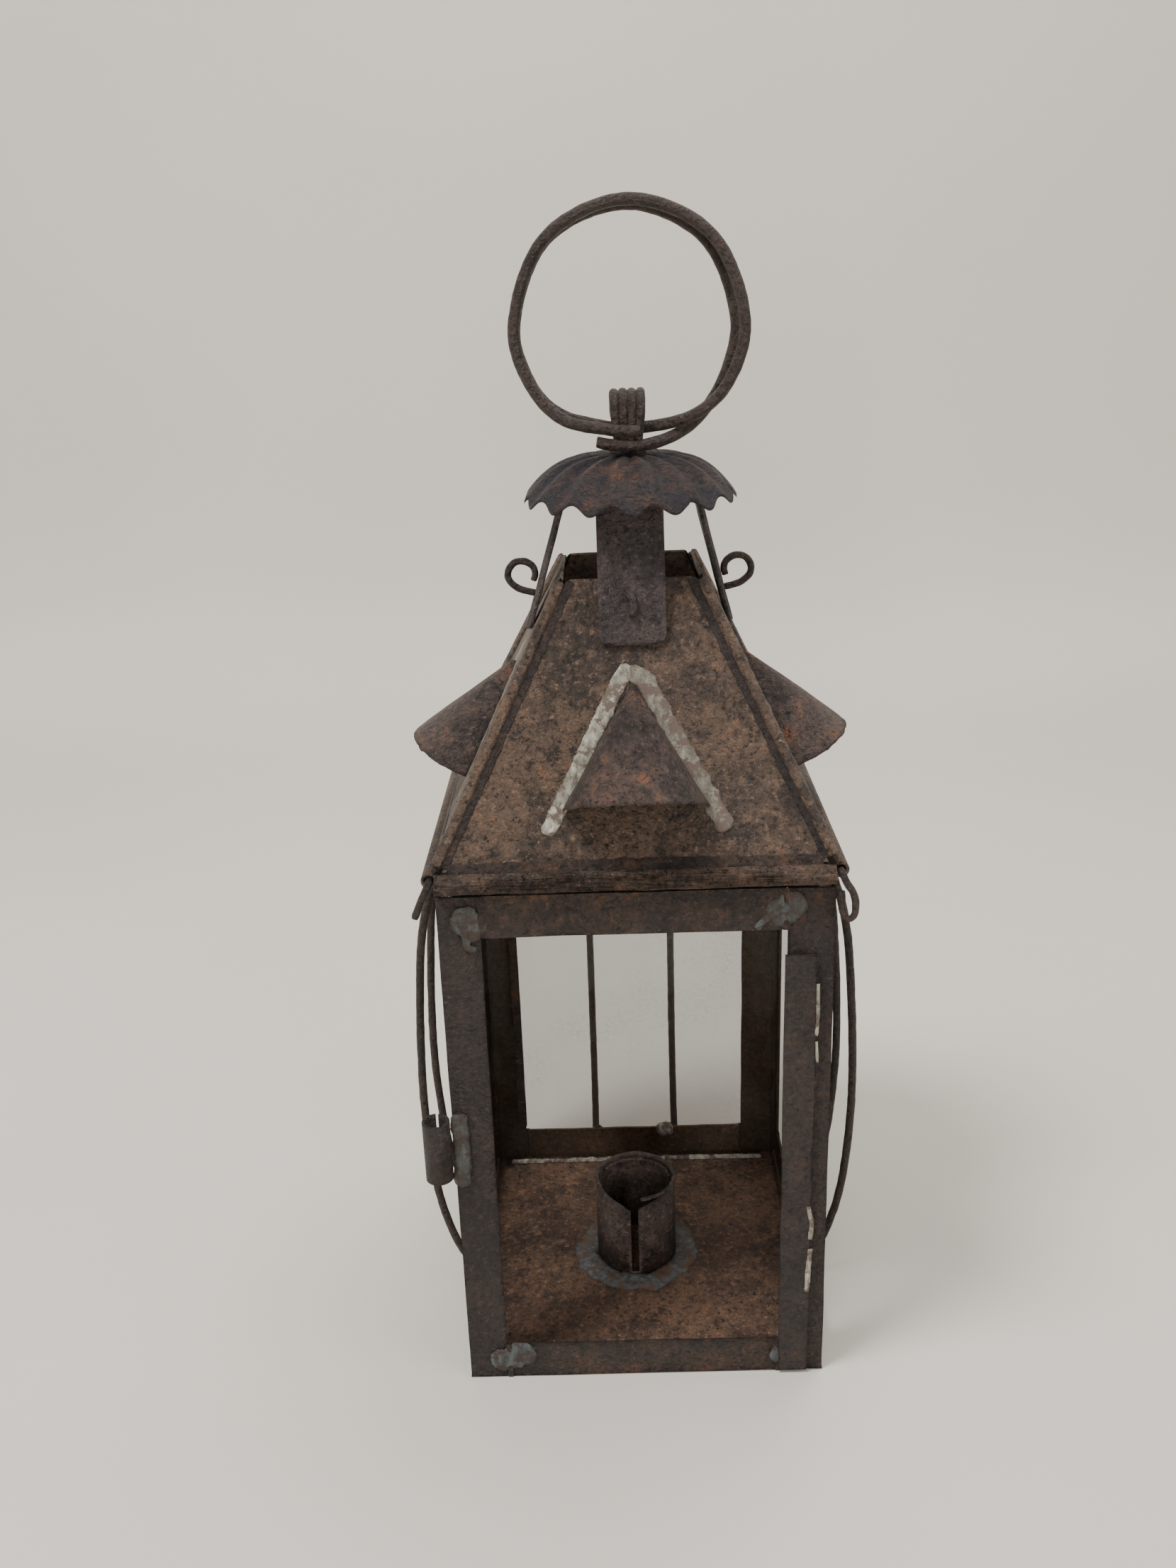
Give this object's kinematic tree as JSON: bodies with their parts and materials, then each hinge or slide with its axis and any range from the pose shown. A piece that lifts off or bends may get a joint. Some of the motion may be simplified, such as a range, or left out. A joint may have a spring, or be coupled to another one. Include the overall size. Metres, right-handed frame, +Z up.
{
  "type": "hinged-roof candle lantern",
  "caption": "Square sheet-iron candle lantern: glazed box body with bowed guard wires, hinged steep roof with vent hoods, fluted cap and carrying ring.",
  "frame": {"origin": "middle of the underside of the floor plate", "axes": "+Z up, -Y towards the open front, +X to the right as seen from the front"},
  "size_m": [0.1388, 0.1382, 0.338],
  "materials": {
    "body_iron": "rusted, matt",
    "roof_iron": "rusted, dull sheen",
    "wire_iron": "rusted, worn",
    "solder": "dull grey",
    "glass": "dusty, clear"
  },
  "bodies": {
    "body": {"floor_plate": "body_iron", "post_front_left": "body_iron", "post_front_right": "body_iron", "post_back_right": "body_iron", "post_back_left": "body_iron", "bottom_rail_front": "body_iron", "bottom_rail_right": "body_iron", "bottom_rail_back": "body_iron", "bottom_rail_left": "body_iron", "top_rail_front": "body_iron", "top_rail_right": "body_iron", "top_rail_back": "body_iron", "top_rail_left": "body_iron", "glass_left": "glass", "glass_right": "glass", "glass_back": "glass", "glass_strip": "body_iron", "door_lap_strip": "body_iron", "latch_lap": "solder", "latch_tube": "body_iron", "guard_wire_left_a": "wire_iron", "guard_wire_left_b": "wire_iron", "guard_wire_right_a": "wire_iron", "guard_wire_right_b": "wire_iron", "guard_wire_back_a": "wire_iron", "guard_wire_back_b": "wire_iron", "candle_cup": "body_iron", "cup_collar": "solder", "hinge_rod": "wire_iron"},
    "roof": {"roof_panel_front": "roof_iron", "roof_panel_right": "roof_iron", "roof_panel_back": "roof_iron", "roof_panel_left": "roof_iron", "hood_front": "roof_iron", "hood_right": "roof_iron", "hood_back": "roof_iron", "hood_left": "roof_iron", "cap_strap_front": "roof_iron", "cap_strap_right": "roof_iron", "cap_strap_back": "roof_iron", "cap_strap_left": "roof_iron", "cap": "roof_iron", "hip_rib_front_left": "roof_iron", "hip_rib_front_right": "roof_iron", "hip_rib_back_right": "roof_iron", "hip_rib_back_left": "roof_iron", "eave_bead_front": "roof_iron", "eave_bead_right": "roof_iron", "eave_bead_back": "roof_iron", "eave_bead_left": "roof_iron", "strap_wire_stub": "wire_iron", "strap_loop_right": "wire_iron", "strap_loop_back": "wire_iron", "strap_loop_left": "wire_iron", "ring_eye": "wire_iron"},
    "ring": {"carrying_ring": "wire_iron"},
    "catch": {"catch_rod": "wire_iron"}
  },
  "joints": [
    {"name": "roof_hinge", "type": "hinge", "parent": "body", "child": "roof", "pos_m": [-0.0554, 0, 0.166], "axis": [0, -1, 0], "range_deg": [0, 95]},
    {"name": "catch_swing", "type": "hinge", "parent": "roof", "child": "catch", "pos_m": [0.0554, 0, 0.166], "axis": [0, -1, 0], "range_deg": [0, 75]},
    {"name": "ring_swing", "type": "hinge", "parent": "roof", "child": "ring", "pos_m": [0.002, 0, 0.2776], "axis": [1, 0, 0], "range_deg": [-20, 4]}
  ]
}
